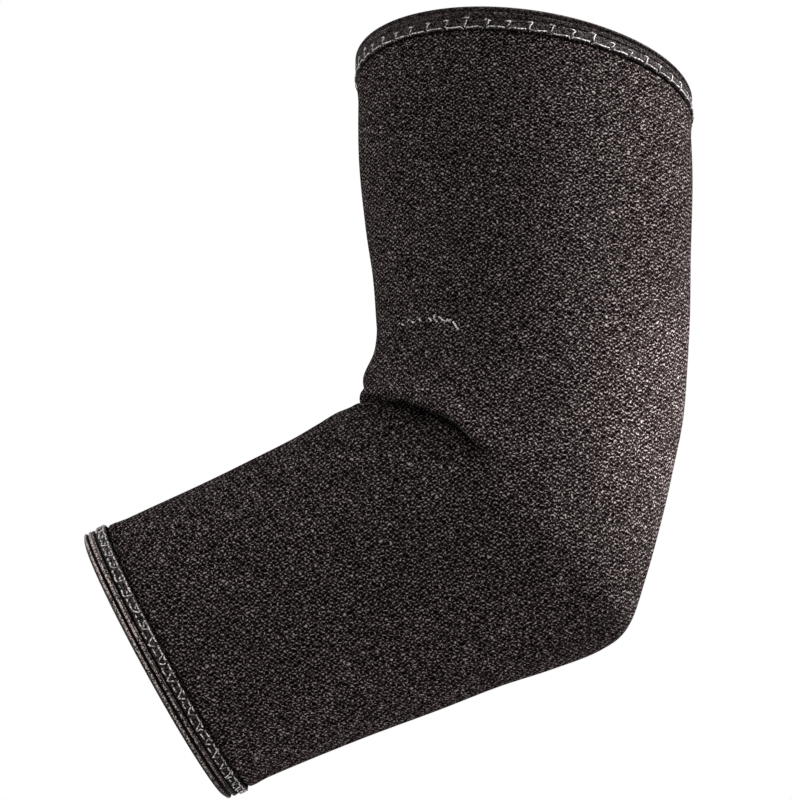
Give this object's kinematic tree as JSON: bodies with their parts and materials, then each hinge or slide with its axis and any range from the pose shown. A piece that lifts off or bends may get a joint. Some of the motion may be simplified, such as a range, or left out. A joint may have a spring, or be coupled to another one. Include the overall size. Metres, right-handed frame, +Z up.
{
  "type": "elbow brace",
  "caption": "Bent pull-on elbow sleeve of black neoprene, hollow and open at both ends, with a folded tape round each opening, a crease and a short stitched dart in the crook",
  "frame": {"origin": "the middle of the elbow, inside the hollow, where the axes of the upper arm and the forearm meet", "axes": "+Z runs up the upper arm, the forearm drops away towards -X at 23 degrees below level, +X is the point of the elbow, and the +Y and -Y sides are alike"},
  "size_m": [0.173, 0.0998, 0.2153],
  "materials": {
    "neoprene": "knit-faced neoprene foam, matt black with a grey fleck",
    "edge_tape": "ribbed stretch tape, matt black",
    "thread": "twisted polyester sewing thread, dark grey with a slight sheen"
  },
  "bodies": {
    "root": {"sleeve_body": "neoprene", "upper_binding": "edge_tape", "forearm_binding": "edge_tape", "dart_seam": "thread"}
  },
  "joints": []
}
